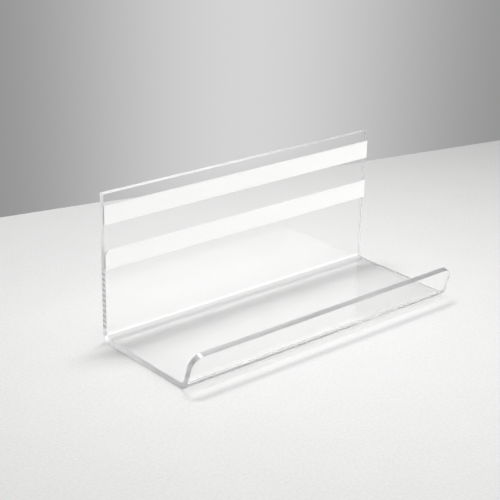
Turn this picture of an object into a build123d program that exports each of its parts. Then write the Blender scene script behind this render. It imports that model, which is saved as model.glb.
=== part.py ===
from build123d import *
import math
import os

# Clear card tray stand, in millimetres.
# One acrylic sheet is heated and bent twice, into an upright, a base and a front lip that leans outwards.
# Two strips of double-sided foam tape lie across the front of the upright, each under its release liner.
# +X runs along the width, -Y is the front, +Z is up.
# The origin is on the floor, under the middle of the stand.

# Acrylic sheet
SHEET_WIDTH = 228.6
SHEET_THICKNESS = 4.0
UPRIGHT_HEIGHT = 101.6  # floor to the top of the upright
BASE_DEPTH = 87.3  # rear face of the upright to the corner where the underside meets the lip's front face
LIP_LENGTH = 25.0  # that corner to the top of the lip, along its front face
LIP_LEAN = 17.0  # degrees forward of vertical
BEND_INNER_RADIUS = 4.0
LIP_CORNER_RADIUS = 8.0
EDGE_ROUNDING = 0.3  # polished arris along every cut edge

# Foam tape, one layer after the other from the acrylic outwards
BOND_ADHESIVE_THICKNESS = 0.1
FOAM_THICKNESS = 0.8
FACE_ADHESIVE_THICKNESS = 0.1
LINER_THICKNESS = 0.12
TAPE_WIDTH = 12.7

# Where the two strips lie
UPPER_TAPE_DROP = 13.6  # top of the upright down to the middle of the upper strip
TAPE_SPACING = 30.1  # middle of the upper strip down to the middle of the lower one
UPPER_TAPE_OVERHANG = 0.5  # past each side of the upright, as cut by hand
LOWER_TAPE_OVERHANG = 0.3
LOWER_TAPE_CORNER_RADIUS = 3.8  # the lower strip's top left corner is trimmed round

# The section of the bent sheet, where a point's first value is its Y and its second is its Z
lean = math.radians(LIP_LEAN)
lip_up = Vector(-math.sin(lean), math.cos(lean))
lip_inward = Vector(math.cos(lean), math.sin(lean))
overall_depth = BASE_DEPTH + LIP_LENGTH * math.sin(lean)
rear_y = overall_depth / 2
upright_front_y = rear_y - SHEET_THICKNESS
bend_outer_radius = BEND_INNER_RADIUS + SHEET_THICKNESS

rear_top = Vector(rear_y, UPRIGHT_HEIGHT)
rear_corner = Vector(rear_y, 0)
front_corner = Vector(rear_y - BASE_DEPTH, 0)
lip_top_front = front_corner + lip_up * LIP_LENGTH
lip_top_back = lip_top_front + lip_inward * SHEET_THICKNESS
lip_inner_run = (lip_top_back.Y - SHEET_THICKNESS) / lip_up.Y
inner_front_corner = lip_top_back - lip_up * lip_inner_run
inner_rear_corner = Vector(upright_front_y, SHEET_THICKNESS)
front_top = Vector(upright_front_y, UPRIGHT_HEIGHT)
lip_top_middle = (lip_top_front + lip_top_back) / 2
upright_top_middle = (rear_top + front_top) / 2


def across(section_point, x):
    """The point of the stand at that point of its section, x along its width."""
    return Vector(x, section_point.X, section_point.Y)


def lip_corner_edges(sheet):
    """The two short edges through the sheet's thickness, at the ends of the lip's top."""
    corners = [across(lip_top_middle, side * SHEET_WIDTH / 2) for side in (-1, 1)]
    return [sheet.edges().sort_by_distance(corner)[0] for corner in corners]


def cut_edges(sheet):
    """The edges where the sheet's two broad faces meet its ends, its tops and the lip's rounded corners."""
    faces = sheet.faces()
    tops = [faces.sort_by_distance(across(middle, 0))[0] for middle in (upright_top_middle, lip_top_middle)]
    broad = [face for face in faces if abs(face.normal_at().X) < 0.5 and face not in tops]
    cut = [face for face in faces if face not in broad]
    cut_outline = [edge for face in cut for edge in face.edges()]
    return [edge for face in broad for edge in face.edges() if edge in cut_outline]


def acrylic_sheet():
    """The bent sheet, with the lip's top corners rounded and every cut edge polished."""
    corners = [
        rear_top,
        rear_corner,
        front_corner,
        lip_top_front,
        lip_top_back,
        inner_front_corner,
        inner_rear_corner,
        front_top,
    ]
    radii = [0, bend_outer_radius, bend_outer_radius, 0, 0, BEND_INNER_RADIUS, BEND_INNER_RADIUS, 0]
    section = make_face(FilletPolyline(*corners, radius=radii, close=True))
    sheet = extrude(Plane.YZ * section, SHEET_WIDTH / 2, both=True)
    sheet = fillet(lip_corner_edges(sheet), LIP_CORNER_RADIUS)
    return fillet(cut_edges(sheet), EDGE_ROUNDING)


def tape_layer(length, middle_z, back_y, thickness, corner_radius):
    """One layer of a strip, in front of back_y, with its top left corner rounded where it has a radius."""
    outline = Rectangle(length, TAPE_WIDTH)
    if corner_radius:
        # The plane faces forward, so the left of the outline is the left of the stand seen from the front.
        top_left = outline.vertices().sort_by(Axis.Y)[-2:].sort_by(Axis.X)[0]
        outline = fillet(top_left, corner_radius)
    front_facing = Plane(origin=(0, back_y, middle_z), x_dir=(1, 0, 0), z_dir=(0, -1, 0))
    return extrude(front_facing * outline, thickness)


def tape_strip(name, middle_z, overhang, corner_radius):
    """The four layers of one strip, by node name."""
    layers = [
        (f"{name}_tape_bond_adhesive", BOND_ADHESIVE_THICKNESS),
        (f"{name}_tape_foam", FOAM_THICKNESS),
        (f"{name}_tape_face_adhesive", FACE_ADHESIVE_THICKNESS),
        (f"{name}_release_liner", LINER_THICKNESS),
    ]
    length = SHEET_WIDTH + 2 * overhang
    strip = {}
    back_y = upright_front_y
    for node, thickness in layers:
        strip[node] = tape_layer(length, middle_z, back_y, thickness, corner_radius)
        back_y -= thickness
    return strip


upper_tape_z = UPRIGHT_HEIGHT - UPPER_TAPE_DROP
lower_tape_z = upper_tape_z - TAPE_SPACING
nodes = {"acrylic_shelf": acrylic_sheet()}
nodes.update(tape_strip("upper", upper_tape_z, UPPER_TAPE_OVERHANG, 0))
nodes.update(tape_strip("lower", lower_tape_z, LOWER_TAPE_OVERHANG, LOWER_TAPE_CORNER_RADIUS))

os.makedirs("parts", exist_ok=True)
for node, solid in nodes.items():
    export_step(solid, f"parts/{node}.step")
    box = solid.bounding_box()
    print(f"{node}: volume {solid.volume:.1f}, from {tuple(box.min)} to {tuple(box.max)}")
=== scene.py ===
import math

import bmesh
import bpy
from mathutils import Matrix, Vector


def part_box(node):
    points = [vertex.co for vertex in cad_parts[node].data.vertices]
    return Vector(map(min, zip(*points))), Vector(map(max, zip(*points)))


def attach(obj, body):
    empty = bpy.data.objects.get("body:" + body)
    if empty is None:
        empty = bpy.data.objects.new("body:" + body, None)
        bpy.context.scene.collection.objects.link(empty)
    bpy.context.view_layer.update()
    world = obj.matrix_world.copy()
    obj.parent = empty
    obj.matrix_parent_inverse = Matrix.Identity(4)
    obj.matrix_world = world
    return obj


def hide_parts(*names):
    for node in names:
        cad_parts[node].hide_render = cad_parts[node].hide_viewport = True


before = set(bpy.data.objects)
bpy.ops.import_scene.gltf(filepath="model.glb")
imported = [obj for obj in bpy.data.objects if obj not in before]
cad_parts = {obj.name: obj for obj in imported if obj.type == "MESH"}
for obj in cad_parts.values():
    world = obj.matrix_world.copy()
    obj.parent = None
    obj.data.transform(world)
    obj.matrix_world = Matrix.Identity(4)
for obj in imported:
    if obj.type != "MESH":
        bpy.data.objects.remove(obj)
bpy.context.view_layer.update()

scene = bpy.context.scene


# Acrylic shelf: one sheet of clear cast acrylic, sawn to a flat blank with two rounded corners.
# It is softened along two lines and folded up, at the rear into the upright and at the front into the lip.
# Its faces keep the polish of the cast sheet. Its cut sides are satin, with saw marks low on the left end;
# the marks' grooves and the lip's top edge carry painted shade, a grey in their colour.

shelf_low, shelf_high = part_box("acrylic_shelf")
upright_front_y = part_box("upper_tape_bond_adhesive")[1].y
sheet_width = shelf_high.x - shelf_low.x
sheet_thickness = shelf_high.y - upright_front_y
base_depth = 0.0873
lip_length = 0.025
lip_lean = math.radians(17)
fold_inner_radius = 0.004
lip_corner_radius = 0.008
arris_radius = 0.0003
arris_angle = math.radians(40)
arris_rows = 3
rows_in_fold = 40
rows_in_lip_corner = 16
least_normal_z_of_faces = 0.99

clear_tint = (0.99, 0.99, 0.99)
refraction = 1.49
wiping_roughness = 0.02
wave_depth = 0.000002
waves_per_metre = 40.0
cut_clearness = 0.95
cut_roughness = 0.3
# How much painted shade darkens the lip's top edge, as a share of the grey below.
lip_edge_painted_shade = 0.3
# The grey of the painted shade, in the saw marks' grooves and on the lip's top edge.
painted_shade_grey = (0.4, 0.4, 0.4)
saw_mark_pitch = 0.0036
saw_mark_depth = 0.0003
saw_mark_fade = 0.003
saw_mark_drifts_per_metre = 120.0
saw_marks_top_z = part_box("lower_tape_foam")[0].z
top_clearness = 0.72
top_scratch_depth = 0.00001

upright_turn = math.pi / 2
lip_turn = math.pi / 2 - lip_lean
fold_outer_radius = fold_inner_radius + sheet_thickness
fold_middle_radius = fold_inner_radius + sheet_thickness / 2
lip_fold_reach = fold_outer_radius * math.tan(lip_turn / 2)
rear_fold_y = shelf_high.y - fold_outer_radius
front_fold_y = shelf_high.y - base_depth + lip_fold_reach
upright_start_y = rear_fold_y + fold_middle_radius * upright_turn
blank_rear_y = upright_start_y + shelf_high.z - fold_outer_radius
blank_front_y = front_fold_y - fold_middle_radius * lip_turn - (lip_length - lip_fold_reach)


def blank_rows():
    """Each row of the flat blank as (y, half its width), from the upright's top to the lip's top."""
    half = sheet_width / 2
    rows = [(blank_rear_y, half)]
    for line, turn in ((rear_fold_y, upright_turn), (front_fold_y, -lip_turn)):
        fold = [line + fold_middle_radius * turn * i / rows_in_fold for i in range(rows_in_fold + 1)]
        rows += [(y, half) for y in sorted(fold, reverse=True)]
    for i in range(rows_in_lip_corner + 1):
        angle = math.pi / 2 * i / rows_in_lip_corner
        y = blank_front_y + lip_corner_radius * (1 - math.sin(angle))
        rows.append((y, half - lip_corner_radius * (1 - math.cos(angle))))
    return rows


def blank_mesh():
    """The flat blank as a closed plate on the floor, with its base already where it will stand."""
    blank = bmesh.new()
    loops = []
    for y, half in blank_rows():
        corners = [(-half, y, 0), (half, y, 0), (half, y, sheet_thickness), (-half, y, sheet_thickness)]
        loops.append([blank.verts.new(corner) for corner in corners])
    for here, there in zip(loops, loops[1:]):
        for i in range(4):
            blank.faces.new((here[i], here[(i + 1) % 4], there[(i + 1) % 4], there[i]))
    blank.faces.new(loops[0][::-1])
    blank.faces.new(loops[-1])
    bmesh.ops.recalc_face_normals(blank, faces=blank.faces)
    mesh = bpy.data.meshes.new("acrylic_blank")
    blank.to_mesh(mesh)
    blank.free()
    return mesh


def node_tools(tree):
    """Two functions on a node tree: one adds a node and feeds its inputs, and one does sums."""

    def add(kind, feeds=None, **options):
        node = tree.nodes.new(kind)
        for option, value in options.items():
            setattr(node, option, value)
        for place, feed in (feeds or {}).items():
            if isinstance(feed, bpy.types.NodeSocket):
                tree.links.new(feed, node.inputs[place])
            else:
                node.inputs[place].default_value = feed
        return node

    def calc(operation, *values):
        return add("ShaderNodeMath", dict(enumerate(values)), operation=operation).outputs[0]

    return add, calc


def ramp(add, value, start, end, low=0.0, high=1.0, easing="LINEAR"):
    """A value that goes from low to high while the given one goes from start to end."""
    feeds = {"Value": value, "From Min": start, "From Max": end, "To Min": low, "To Max": high}
    return add("ShaderNodeMapRange", feeds, interpolation_type=easing).outputs[0]


def colour_between(add, share, first, second):
    """A colour that goes from the first to the second while the share goes from 0 to 1."""
    feeds = {"Factor": share, "A": first, "B": (*second, 1)}
    return add("ShaderNodeMix", feeds, data_type="RGBA").outputs["Result"]


def new_tree(name, kind, inputs, outputs):
    """An empty node group with these named sockets."""
    tree = bpy.data.node_groups.new(name, kind)
    for in_out, sockets in (("INPUT", inputs), ("OUTPUT", outputs)):
        for socket, socket_type in sockets.items():
            tree.interface.new_socket(socket, in_out=in_out, socket_type=f"NodeSocket{socket_type}")
    return tree


def fold_tree():
    """One fold: what lies past the line turns up round an axis above the sheet, and the rest stays flat."""
    sizes = {name: "Float" for name in ("Line", "Side", "Turn", "Inner Radius", "Thickness")}
    inputs = {"Geometry": "Geometry", **sizes}
    tree = new_tree("sheet_fold", "GeometryNodeTree", inputs, {"Geometry": "Geometry"})
    add, calc = node_tools(tree)
    given = add("NodeGroupInput").outputs
    place = add("ShaderNodeSeparateXYZ", {0: add("GeometryNodeInputPosition").outputs[0]}).outputs
    axis_height = calc("ADD", given["Inner Radius"], given["Thickness"])
    middle_radius = calc("SUBTRACT", axis_height, calc("MULTIPLY", given["Thickness"], 0.5))
    past_line = calc("MULTIPLY", calc("SUBTRACT", place["Y"], given["Line"]), given["Side"])
    before = calc("MINIMUM", past_line, 0.0)
    turned = calc("MAXIMUM", calc("DIVIDE", past_line, middle_radius), 0.0)
    turned = calc("MINIMUM", turned, given["Turn"])
    fold_length = calc("MULTIPLY", middle_radius, given["Turn"])
    beyond = calc("MAXIMUM", calc("SUBTRACT", past_line, fold_length), 0.0)
    from_axis = calc("SUBTRACT", axis_height, place["Z"])
    out = calc("ADD", before, calc("MULTIPLY", from_axis, calc("SINE", turned)))
    out = calc("ADD", out, calc("MULTIPLY", beyond, calc("COSINE", given["Turn"])))
    up = calc("SUBTRACT", axis_height, calc("MULTIPLY", from_axis, calc("COSINE", turned)))
    up = calc("ADD", up, calc("MULTIPLY", beyond, calc("SINE", given["Turn"])))
    along = calc("ADD", given["Line"], calc("MULTIPLY", out, given["Side"]))
    folded = add("ShaderNodeCombineXYZ", {0: place["X"], 1: along, 2: up}).outputs[0]
    feeds = {"Geometry": given["Geometry"], "Position": folded}
    add("NodeGroupOutput", {0: add("GeometryNodeSetPosition", feeds).outputs[0]})
    return tree


def folded_sheet_tree(fold, face, bend, cut, top):
    """Notes the blank's flat places, folds and cut sides, folds it twice and gives it its finishes."""
    sizes = ("Rear Line", "Rear Turn", "Front Line", "Front Turn", "Inner Radius", "Thickness")
    inputs = {"Geometry": "Geometry", **{size: "Float" for size in sizes}}
    tree = new_tree("folded_sheet", "GeometryNodeTree", inputs, {"Geometry": "Geometry"})
    add, calc = node_tools(tree)
    given = add("NodeGroupInput").outputs

    def noted(geometry, name, value, **kind):
        feeds = {"Geometry": geometry, "Name": name, "Value": value}
        return add("GeometryNodeStoreNamedAttribute", feeds, **kind).outputs[0]

    flat_place = add("GeometryNodeInputPosition").outputs[0]
    flat_y = add("ShaderNodeSeparateXYZ", {0: flat_place}).outputs["Y"]
    flat_normal = add("ShaderNodeSeparateXYZ", {0: add("GeometryNodeInputNormal").outputs[0]}).outputs
    is_cut = calc("LESS_THAN", calc("ABSOLUTE", flat_normal["Z"]), least_normal_z_of_faces)
    is_upright = calc("GREATER_THAN", flat_y, upright_start_y)
    is_base = calc("COMPARE", flat_y, (rear_fold_y + front_fold_y) / 2, (rear_fold_y - front_fold_y) / 2)
    is_lip = calc("LESS_THAN", flat_y, blank_front_y + lip_length - lip_fold_reach)
    is_bend = calc("SUBTRACT", 1.0, calc("ADD", is_upright, calc("ADD", is_base, is_lip)))
    is_top = calc("MULTIPLY", is_cut, calc("GREATER_THAN", flat_y, blank_rear_y - 2 * arris_radius))
    sheet = noted(given["Geometry"], "blank_place", flat_place, data_type="FLOAT_VECTOR", domain="POINT")
    for mark, value in (("in_fold", is_bend), ("cut_side", is_cut), ("top_side", is_top)):
        sheet = noted(sheet, mark, value, data_type="BOOLEAN", domain="FACE")
    for line, turn, side in (("Rear Line", "Rear Turn", 1.0), ("Front Line", "Front Turn", -1.0)):
        feeds = {
            "Geometry": sheet,
            "Line": given[line],
            "Side": side,
            "Turn": given[turn],
            "Inner Radius": given["Inner Radius"],
            "Thickness": given["Thickness"],
        }
        sheet = add("GeometryNodeGroup", feeds, node_tree=fold).outputs[0]
    sheet = add("GeometryNodeSetShadeSmooth", {"Geometry": sheet}).outputs[0]
    sheet = add("GeometryNodeRealizeInstances", {"Geometry": sheet}).outputs[0]
    sheet = add("GeometryNodeSetMaterial", {"Geometry": sheet, "Material": face}).outputs[0]
    for mark, finish in (("in_fold", bend), ("cut_side", cut), ("top_side", top)):
        marked = add("GeometryNodeInputNamedAttribute", {"Name": mark}, data_type="BOOLEAN").outputs[0]
        feeds = {"Geometry": sheet, "Selection": marked, "Material": finish}
        sheet = add("GeometryNodeSetMaterial", feeds).outputs[0]
    add("NodeGroupOutput", {0: sheet})
    return tree


def set_sizes(modifier, sizes):
    """Sets a node modifier's inputs by their names."""
    for item in modifier.node_group.interface.items_tree:
        if item.in_out == "INPUT" and item.name in sizes:
            modifier[item.identifier] = sizes[item.name]


def finished_mesh(obj):
    """Gives the object the plain mesh that its modifiers make, and takes them off."""
    graph = bpy.context.evaluated_depsgraph_get()
    made = obj.evaluated_get(graph)
    mesh = bpy.data.meshes.new_from_object(made, preserve_all_data_layers=True, depsgraph=graph)
    mesh.name = obj.name
    obj.modifiers.clear()
    obj.data = mesh


def new_material(name):
    """A node material, its Principled shader and the tools for its nodes."""
    material = bpy.data.materials.new(name)
    material.use_nodes = True
    add, calc = node_tools(material.node_tree)
    return material, material.node_tree.nodes["Principled BSDF"], add, calc


def clear_acrylic(name):
    """Clear acrylic, the same all through, for one kind of its surface to add to."""
    material, shader, add, calc = new_material(name)
    shader.inputs["Base Color"].default_value = (*clear_tint, 1)
    shader.inputs["IOR"].default_value = refraction
    shader.inputs["Transmission Weight"].default_value = 1.0
    return material, shader, add, calc


def wiping_haze_group():
    """The polish of the cast sheet, with faint streaks of haze from wiping along it."""
    inputs = {"Place": "Vector", "Most Roughness": "Float"}
    tree = new_tree("wiping_haze", "ShaderNodeTree", inputs, {"Roughness": "Float"})
    add, calc = node_tools(tree)
    given = add("NodeGroupInput").outputs
    streaks_per_metre = (14.0, 120.0, 120.0)
    streaks = add("ShaderNodeMapping", {"Vector": given["Place"], "Scale": streaks_per_metre}).outputs[0]
    streaks = add("ShaderNodeTexNoise", {"Vector": streaks, "Scale": 1.0, "Detail": 4.0}).outputs[0]
    hazy = ramp(add, streaks, 0.55, 0.8)
    add("NodeGroupOutput", {0: calc("MULTIPLY", hazy, given["Most Roughness"])})
    return tree


def polish(material, shader, add, place):
    """Gives a surface the polish of the cast sheet."""
    feeds = {"Place": place, "Most Roughness": wiping_roughness}
    haze = add("ShaderNodeGroup", feeds, node_tree=wiping_haze)
    material.node_tree.links.new(haze.outputs["Roughness"], shader.inputs["Roughness"])


def let_lamps_through(material, shader, add, share, straight=1.0):
    """Lets light on to other surfaces: most of it straight, less what is kept back, and the rest bent."""

    def unbent(amount):
        return add("ShaderNodeBsdfTransparent", {"Color": (amount, amount, amount, 1)}).outputs[0]

    path = add("ShaderNodeLightPath").outputs
    surface = shader.outputs[0]
    from_lamps = unbent(share * straight)
    to_surfaces = add("ShaderNodeMixShader", {0: straight, 1: surface, 2: unbent(share)}).outputs[0]
    for ray, passing in (("Is Shadow Ray", from_lamps), ("Is Diffuse Ray", to_surfaces)):
        surface = add("ShaderNodeMixShader", {0: path[ray], 1: surface, 2: passing}).outputs[0]
    material.node_tree.links.new(surface, material.node_tree.nodes["Material Output"].inputs["Surface"])


def acrylic_face():
    """The flat faces, with a slow, hardly visible wave. They cast no shadow."""
    material, shader, add, _ = clear_acrylic("acrylic_face")
    place = add("ShaderNodeTexCoord").outputs["Object"]
    polish(material, shader, add, place)
    feeds = {"Vector": place, "Scale": waves_per_metre, "Detail": 1.0}
    wave = add("ShaderNodeTexNoise", feeds).outputs[0]
    bump = add("ShaderNodeBump", {"Strength": 1.0, "Distance": wave_depth, "Height": wave}).outputs[0]
    material.node_tree.links.new(bump, shader.inputs["Normal"])
    let_lamps_through(material, shader, add, share=1.0)
    return material


def acrylic_bend():
    """The folds, which cast a faint shadow and gather some of the light into a bright line beside it."""
    material, shader, add, _ = clear_acrylic("acrylic_bend")
    polish(material, shader, add, add("ShaderNodeTexCoord").outputs["Object"])
    let_lamps_through(material, shader, add, share=0.8, straight=0.9)
    return material


def acrylic_cut():
    """The lip's top edge, with a little painted shade, and the two ends, with saw marks on the left one
    below the tape, their grooves in painted shade.
    """
    material, shader, add, calc = clear_acrylic("acrylic_cut")
    shader.inputs["Transmission Weight"].default_value = cut_clearness
    shader.inputs["Roughness"].default_value = cut_roughness
    blank = add("ShaderNodeAttribute", attribute_name="blank_place").outputs["Vector"]
    flat = add("ShaderNodeSeparateXYZ", {0: blank}).outputs
    on_end = calc("GREATER_THAN", calc("ABSOLUTE", flat["X"]), sheet_width / 2 - 2 * arris_radius)
    on_left = calc("MULTIPLY", on_end, calc("LESS_THAN", flat["X"], 0.0))
    height = calc("ADD", flat["Y"], fold_outer_radius - upright_start_y)
    above_fold = ramp(add, height, fold_outer_radius, fold_outer_radius + saw_mark_fade)
    below_tape = ramp(add, height, saw_marks_top_z, saw_marks_top_z - saw_mark_fade)
    marked = calc("MULTIPLY", on_left, calc("MULTIPLY", above_fold, below_tape))
    feeds = {"W": height, "Scale": saw_mark_drifts_per_metre, "Detail": 2.0}
    drift = add("ShaderNodeTexNoise", feeds, noise_dimensions="1D").outputs[0]
    passing = calc("MULTIPLY_ADD", height, 2 * math.pi / saw_mark_pitch, drift)
    marks = calc("MULTIPLY", calc("MULTIPLY_ADD", calc("SINE", passing), 0.5, 0.5), marked)
    # Painted shade: the colour goes grey in the saw marks' grooves and a little grey on the lip's top edge.
    on_lip = calc("SUBTRACT", 1.0, on_end)
    shade = calc("MAXIMUM", marks, calc("MULTIPLY", on_lip, lip_edge_painted_shade))
    tint = colour_between(add, shade, (*clear_tint, 1), painted_shade_grey)
    material.node_tree.links.new(tint, shader.inputs["Base Color"])
    feeds = {"Strength": 1.0, "Distance": saw_mark_depth, "Height": marks}
    bump = add("ShaderNodeBump", feeds).outputs[0]
    material.node_tree.links.new(bump, shader.inputs["Normal"])
    let_lamps_through(material, shader, add, share=0.5)
    return material


def acrylic_top():
    """The upright's top edge: scraped to a satin finish, which takes the light from above."""
    material, shader, add, _ = clear_acrylic("acrylic_top")
    shader.inputs["Transmission Weight"].default_value = top_clearness
    blank = add("ShaderNodeAttribute", attribute_name="blank_place").outputs["Vector"]
    scratches_per_metre = (60.0, 2500.0, 2500.0)
    scratches = add("ShaderNodeMapping", {"Vector": blank, "Scale": scratches_per_metre}).outputs[0]
    scratches = add("ShaderNodeTexNoise", {"Vector": scratches, "Scale": 1.0, "Detail": 2.0}).outputs[0]
    rough = ramp(add, scratches, 0.3, 0.7, low=0.25, high=0.4)
    material.node_tree.links.new(rough, shader.inputs["Roughness"])
    feeds = {"Strength": 0.3, "Distance": top_scratch_depth, "Height": scratches}
    bump = add("ShaderNodeBump", feeds).outputs[0]
    material.node_tree.links.new(bump, shader.inputs["Normal"])
    let_lamps_through(material, shader, add, share=0.5)
    return material


wiping_haze = wiping_haze_group()
shelf = bpy.data.objects.new("acrylic_sheet", blank_mesh())
scene.collection.objects.link(shelf)
arris = shelf.modifiers.new("arris", "BEVEL")
arris.width = arris_radius
arris.segments = arris_rows
arris.limit_method = "ANGLE"
arris.angle_limit = arris_angle
finishes = (acrylic_face(), acrylic_bend(), acrylic_cut(), acrylic_top())
folds = shelf.modifiers.new("folds", "NODES")
folds.node_group = folded_sheet_tree(fold_tree(), *finishes)
set_sizes(
    folds,
    {
        "Rear Line": rear_fold_y,
        "Rear Turn": upright_turn,
        "Front Line": front_fold_y,
        "Front Turn": lip_turn,
        "Inner Radius": fold_inner_radius,
        "Thickness": sheet_thickness,
    },
)
shelf.modifiers.new("flat_faces_lead", "WEIGHTED_NORMAL")
finished_mesh(shelf)
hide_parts("acrylic_shelf")
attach(shelf, "stand")


# Bond adhesive of the two tape strips: a thin film of acrylic adhesive on the back of the foam.
# It is pressed on to the upright by hand and clings here and there, over a film of air too thin to see.
# Through the sheet, from behind, pockets of air show as paler spots.

lower_corner_radius = 0.0038
tape_rows = 8
tape_columns = 150
corner_columns = 14
tape_edge_angle = math.radians(50)
cockle_rates = (61, 23)
pockets_per_metre = 420.0
film_grain_depth = 0.00004


def tape_layer(name, node, edge, ripple=0.0):
    """A closed slab of tape. edge says how far its outline grows at each share of its thickness."""
    low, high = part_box(node)
    corner = lower_corner_radius if node.startswith("lower") else 0.0

    def cockle(x):
        return math.sin(cockle_rates[0] * x) * math.sin(cockle_rates[1] * x + 1) + 1

    def outline_point(column, row, grow):
        length = high.x - low.x + 2 * grow
        reach = corner + grow if corner else 0.0
        if column <= corner_columns:
            from_left = reach * (1 - math.cos(math.pi / 2 * column / corner_columns))
        else:
            straight_share = (column - corner_columns) / (tape_columns - corner_columns)
            from_left = reach + (length - reach) * straight_share
        inset = max(reach - from_left, 0.0)
        top = high.z + grow - reach + math.sqrt(max(reach * reach - inset * inset, 0.0))
        bottom = low.z - grow
        return low.x - grow + from_left, bottom + (top - bottom) * row / tape_rows

    first_column = 0 if corner else corner_columns
    columns = range(first_column, tape_columns + 1)
    rim = [(column, 0) for column in columns]
    rim += [(tape_columns, row) for row in range(1, tape_rows + 1)]
    rim += [(column, tape_rows) for column in reversed(columns[:-1])]
    rim += [(first_column, row) for row in range(tape_rows - 1, 0, -1)]

    layer = bmesh.new()
    rings = []
    for share, grow in edge:
        y = high.y + (low.y - high.y) * share
        ring = {}
        broad = share in (edge[0][0], edge[-1][0])
        spots = [(column, row) for column in columns for row in range(tape_rows + 1)] if broad else rim
        for spot in spots:
            x, z = outline_point(*spot, grow)
            lift = ripple * cockle(x) if share == edge[-1][0] else 0.0
            ring[spot] = layer.verts.new((x, y - lift, z))
        rings.append(ring)
    for here, there in zip(rings, rings[1:]):
        for a, b in zip(rim, rim[1:] + rim[:1]):
            layer.faces.new((here[a], here[b], there[b], there[a]))
    for ring in (rings[0], rings[-1]):
        for column in columns[:-1]:
            for row in range(tape_rows):
                corners = [(column, row), (column + 1, row), (column + 1, row + 1), (column, row + 1)]
                layer.faces.new([ring[spot] for spot in corners])
    bmesh.ops.recalc_face_normals(layer, faces=layer.faces)
    for face in layer.faces:
        face.smooth = True
    mesh = bpy.data.meshes.new(name)
    layer.to_mesh(mesh)
    layer.free()
    mesh.set_sharp_from_angle(angle=tape_edge_angle)
    piece = bpy.data.objects.new(name, mesh)
    scene.collection.objects.link(piece)
    return piece


def grain_group():
    """Fine grain with slower patches in it, for paper, foam, film and floor alike."""
    inputs = {"Place": "Vector", "Grain Size": "Float", "Patch Size": "Float", "Patch Share": "Float"}
    tree = new_tree("fine_grain", "ShaderNodeTree", inputs, {"Grain": "Float", "Patches": "Float"})
    add, calc = node_tools(tree)
    given = add("NodeGroupInput").outputs

    def noise(size, detail):
        feeds = {"Vector": given["Place"], "Scale": calc("DIVIDE", 1.0, size), "Detail": detail}
        return add("ShaderNodeTexNoise", feeds).outputs[0]

    fine = noise(given["Grain Size"], 3.0)
    slow = noise(given["Patch Size"], 2.0)
    both = add("ShaderNodeMix", {"Factor": given["Patch Share"], "A": fine, "B": slow}).outputs[0]
    add("NodeGroupOutput", {0: both, 1: slow})
    return tree


def grain(add, place, grain_size, patch_size, patch_share):
    """The fine grain in a material, as its outputs."""
    feeds = {
        "Place": place,
        "Grain Size": grain_size,
        "Patch Size": patch_size,
        "Patch Share": patch_share,
    }
    return add("ShaderNodeGroup", feeds, node_tree=fine_grain).outputs


def adhesive_film():
    """Milky adhesive, glossy where it lies smooth, with pale pockets of air."""
    material, shader, add, calc = new_material("tape_adhesive")
    links = material.node_tree.links
    place = add("ShaderNodeTexCoord").outputs["Object"]
    film = grain(add, place, grain_size=0.0006, patch_size=0.006, patch_share=0.5)
    feeds = {"Vector": place, "Scale": pockets_per_metre, "Randomness": 1.0}
    pockets = add("ShaderNodeTexVoronoi", feeds).outputs["Distance"]
    pockets = calc("ADD", pockets, film["Patches"])
    air = ramp(add, pockets, 0.72, 0.66)
    wet = colour_between(add, film["Grain"], (0.87, 0.87, 0.86, 1), (0.91, 0.91, 0.90))
    colour = colour_between(add, air, wet, (0.95, 0.95, 0.945))
    links.new(colour, shader.inputs["Base Color"])
    rough = ramp(add, film["Grain"], 0.3, 0.7, low=0.12, high=0.3)
    links.new(rough, shader.inputs["Roughness"])
    feeds = {"Strength": 0.6, "Distance": film_grain_depth, "Height": film["Grain"]}
    bump = add("ShaderNodeBump", feeds).outputs[0]
    links.new(bump, shader.inputs["Normal"])
    return material


fine_grain = grain_group()
tape_adhesive = adhesive_film()
for strip in ("upper", "lower"):
    node = f"{strip}_tape_bond_adhesive"
    film_edge = ((0.1, -0.0002), (0.5, -0.00005), (1.0, -0.0001))
    bond = tape_layer(f"{strip}_bond_film", node, film_edge)
    bond.data.materials.append(tape_adhesive)
    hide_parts(node)
    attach(bond, "stand")


# Foam carriers: closed-cell foam, 0.8 mm thick, white all through, slit to width on the roll.
# The edges bulge a little where the strip was pressed on, and the cut shows open cells.
# The ends are cut by hand, a little longer than the upright is wide.

foam_cells_per_metre = 3800.0
foam_cell_depth = 0.00008


def carrier_foam():
    """White foam with cells of about a quarter of a millimetre, their hollows painted darker as shade,
    mottled at random.
    """
    material, shader, add, calc = new_material("tape_foam")
    links = material.node_tree.links
    place = add("ShaderNodeTexCoord").outputs["Object"]
    feeds = {"Vector": place, "Scale": foam_cells_per_metre}
    cells = add("ShaderNodeTexVoronoi", feeds, feature="DISTANCE_TO_EDGE").outputs[0]
    mottle = grain(add, place, grain_size=0.0004, patch_size=0.008, patch_share=0.4)
    # Painted shade: the colour darkens from the cell walls into the cell hollows, mottled by the grain.
    wall = ramp(add, cells, 0.0, 0.25)
    shade = calc("MULTIPLY", wall, mottle["Grain"])
    colour = colour_between(add, shade, (0.90, 0.90, 0.885, 1), (0.78, 0.78, 0.76))
    links.new(colour, shader.inputs["Base Color"])
    rough = ramp(add, mottle["Grain"], 0.0, 1.0, low=0.75, high=0.95)
    links.new(rough, shader.inputs["Roughness"])
    feeds = {"Strength": 0.7, "Distance": foam_cell_depth, "Height": wall}
    bump = add("ShaderNodeBump", feeds, invert=True).outputs[0]
    links.new(bump, shader.inputs["Normal"])
    return material


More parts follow.
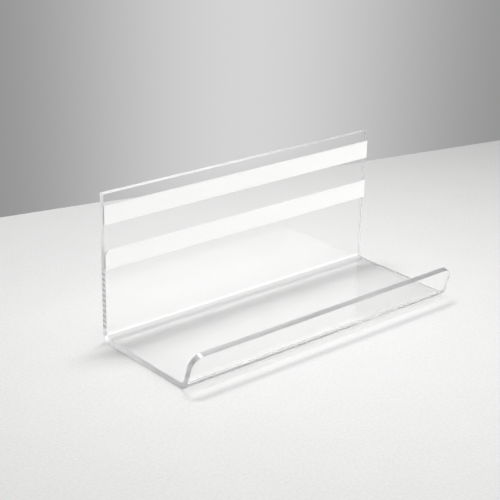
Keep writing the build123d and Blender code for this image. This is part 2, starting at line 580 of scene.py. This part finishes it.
tape_foam = carrier_foam()
for strip in ("upper", "lower"):
    node = f"{strip}_tape_foam"
    foam_edge = (
        (0.0, -0.0001),
        (0.12, 0.00002),
        (0.35, 0.00009),
        (0.65, 0.00009),
        (0.88, 0.00002),
        (1.0, -0.0001),
    )
    foam = tape_layer(f"{strip}_foam_carrier", node, foam_edge)
    foam.data.materials.append(tape_foam)
    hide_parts(node)
    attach(foam, "stand")


# Face adhesive: the same milky film on the front of the foam, coated on when the tape is made.
# The liner keeps it clean, and once that is peeled off, it grips whatever is mounted on it.

for strip in ("upper", "lower"):
    node = f"{strip}_tape_face_adhesive"
    film_edge = ((0.0, -0.0001), (0.5, -0.00005), (0.8, -0.0001), (1.0, -0.0002))
    film = tape_layer(f"{strip}_face_film", node, film_edge)
    film.data.materials.append(tape_adhesive)
    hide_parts(node)
    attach(film, "stand")


# Release liners: white paper with a siliconed back, slit together with the foam, so its edges are flush.
# Each one only clings to the adhesive and peels off. It cockles slightly along its length.

fibre_depth = 0.00002
liner_ripple = 0.00002


def liner_paper():
    """White coated paper with faint fibres along the strip."""
    material, shader, add, _ = new_material("release_liner")
    links = material.node_tree.links
    place = add("ShaderNodeTexCoord").outputs["Object"]
    stretched = add("ShaderNodeMapping", {"Vector": place, "Scale": (0.35, 1.0, 1.0)}).outputs[0]
    fibres = grain(add, stretched, grain_size=0.0005, patch_size=0.01, patch_share=0.35)
    colour = colour_between(add, fibres["Grain"], (0.915, 0.915, 0.91, 1), (0.945, 0.945, 0.94))
    links.new(colour, shader.inputs["Base Color"])
    rough = ramp(add, fibres["Grain"], 0.3, 0.7, low=0.42, high=0.6)
    links.new(rough, shader.inputs["Roughness"])
    feeds = {"Strength": 0.4, "Distance": fibre_depth, "Height": fibres["Grain"]}
    bump = add("ShaderNodeBump", feeds).outputs[0]
    links.new(bump, shader.inputs["Normal"])
    return material


release_liner = liner_paper()
for strip in ("upper", "lower"):
    node = f"{strip}_release_liner"
    paper_edge = ((0.0, -0.00003), (0.3, 0.00002), (0.7, 0.00002), (1.0, -0.00003))
    liner = tape_layer(f"{strip}_liner", node, paper_edge, ripple=liner_ripple)
    liner.data.materials.append(release_liner)
    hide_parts(node)
    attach(liner, f"{strip}_liner")


# Floor and backdrop: a pale, finely grained floor with a straight back edge, and a grey backdrop past it.
# The backdrop is the world itself, lightest behind the stand, and paler again high on the right.

floor_edge_point = Vector((0.0336, 0.27, -0.00005))
floor_edge_turn = math.radians(-12)
floor_reach = 3
floor_depth = 5
floor_roughness = 0.75
floor_grain_depth = 0.0001
edge_way = Vector((math.cos(floor_edge_turn), math.sin(floor_edge_turn), 0))
front_way = Vector((edge_way.y, -edge_way.x, 0))
rear_left = floor_edge_point - edge_way * floor_reach
rear_right = floor_edge_point + edge_way * floor_reach
to_front = front_way * floor_depth
floor_corners = [rear_left, rear_left + to_front, rear_right + to_front, rear_right]
floor_mesh = bpy.data.meshes.new("floor")
floor_mesh.from_pydata(floor_corners, [], [(0, 1, 2, 3)])
floor = bpy.data.objects.new("floor", floor_mesh)
scene.collection.objects.link(floor)

pale_floor, shader, add, _ = new_material("pale_floor")
place = add("ShaderNodeTexCoord").outputs["Object"]
speckle = grain(add, place, grain_size=0.0018, patch_size=0.03, patch_share=0.15)
tint = colour_between(add, speckle["Grain"], (0.69, 0.69, 0.685, 1), (0.89, 0.89, 0.885))
pale_floor.node_tree.links.new(tint, shader.inputs["Base Color"])
shader.inputs["Roughness"].default_value = floor_roughness
feeds = {"Strength": 0.4, "Distance": floor_grain_depth, "Height": speckle["Grain"]}
floor_bump = add("ShaderNodeBump", feeds).outputs[0]
pale_floor.node_tree.links.new(floor_bump, shader.inputs["Normal"])
floor_mesh.materials.append(pale_floor)

backdrop_grey = 0.12
low_glow = 0.17
column_glow = 0.372
column_turn = math.radians(40.6)
column_half_width = math.radians(13.3)
high_glow = 0.1
high_right = Vector((0.62, 0.23, 0.75)).normalized()
world = bpy.data.worlds.new("grey_backdrop")
scene.world = world
world.use_nodes = True
add, calc = node_tools(world.node_tree)
way = add("ShaderNodeTexCoord").outputs["Generated"]
way_parts = add("ShaderNodeSeparateXYZ", {0: way}).outputs
turn = calc("ARCTAN2", way_parts["X"], way_parts["Y"])
off_middle = calc("ABSOLUTE", calc("SUBTRACT", turn, column_turn))
light_column = ramp(add, off_middle, column_half_width, 0.0, easing="SMOOTHSTEP")
fade_up = ramp(add, way_parts["Z"], 0.1, 0.7, low=1.0, high=0.0)
light_column = calc("MULTIPLY", light_column, fade_up)
low_down = ramp(add, way_parts["Z"], -0.1, 0.4, low=1.0, high=0.0, easing="SMOOTHSTEP")
behind = ramp(add, way_parts["Y"], 0.0, 0.55, easing="SMOOTHSTEP")
backdrop = calc("MULTIPLY_ADD", calc("MULTIPLY", low_down, behind), low_glow, backdrop_grey)
backdrop = calc("MULTIPLY_ADD", light_column, column_glow, backdrop)
facing = add("ShaderNodeVectorMath", {0: way, 1: high_right}, operation="DOT_PRODUCT").outputs["Value"]
paler = ramp(add, facing, 0.5, 1.0, easing="SMOOTHSTEP")
backdrop = calc("MULTIPLY_ADD", paler, high_glow, backdrop)
world.node_tree.links.new(backdrop, world.node_tree.nodes["Background"].inputs["Color"])


# Lamps: a small softbox above and a little behind the stand, and a large one low at the front right.
# Light that enters a cut side runs along inside the sheet by many reflections, so these are all followed.

def softbox(name, power, width, height, spread, place, target):
    """A rectangular lamp that looks from place to target."""
    lamp = bpy.data.lights.new(name, "AREA")
    lamp.shape = "RECTANGLE"
    lamp.energy = power
    lamp.size = width
    lamp.size_y = height
    lamp.spread = math.radians(spread)
    obj = bpy.data.objects.new(name, lamp)
    scene.collection.objects.link(obj)
    aim = (Vector(target) - Vector(place)).to_track_quat("-Z", "Y")
    obj.matrix_world = Matrix.Translation(place) @ aim.to_matrix().to_4x4()
    obj.visible_camera = False


softbox(
    "overhead_softbox",
    power=2.42,
    width=0.36,
    height=0.16,
    spread=110,
    place=(0.07, 0.21, 0.85),
    target=(-0.04, -0.04, 0),
)
softbox(
    "front_softbox",
    power=18.3,
    width=2.4,
    height=0.9,
    spread=180,
    place=(0.50, -1.25, 0.45),
    target=(0.25, 0, 0.1),
)
reflections_followed = 96
scene.cycles.max_bounces = reflections_followed
scene.cycles.glossy_bounces = reflections_followed
scene.cycles.transmission_bounces = reflections_followed
scene.cycles.transparent_max_bounces = 32


# Camera: the photograph's place and angle, worked out from the stand's straight edges.
# The plain Standard view shows the colours as the lamps and finishes give them.

camera_place = (-0.52637, -0.57416, 0.36184)
camera_turn = math.radians(-40.746)
camera_height_angle = math.radians(21.825)
camera_roll = math.radians(1.1675)
focal_length_in_widths = 2.54212
back_way = Vector((
    math.sin(camera_turn) * math.cos(camera_height_angle),
    -math.cos(camera_turn) * math.cos(camera_height_angle),
    math.sin(camera_height_angle),
))
camera = bpy.data.objects.new("camera", bpy.data.cameras.new("camera"))
scene.collection.objects.link(camera)
level = back_way.to_track_quat("Z", "Y").to_matrix().to_4x4()
camera.matrix_world = Matrix.Translation(camera_place) @ level @ Matrix.Rotation(camera_roll, 4, "Z")
camera.data.lens = camera.data.sensor_width * focal_length_in_widths
scene.camera = camera
scene.view_settings.view_transform = "Standard"
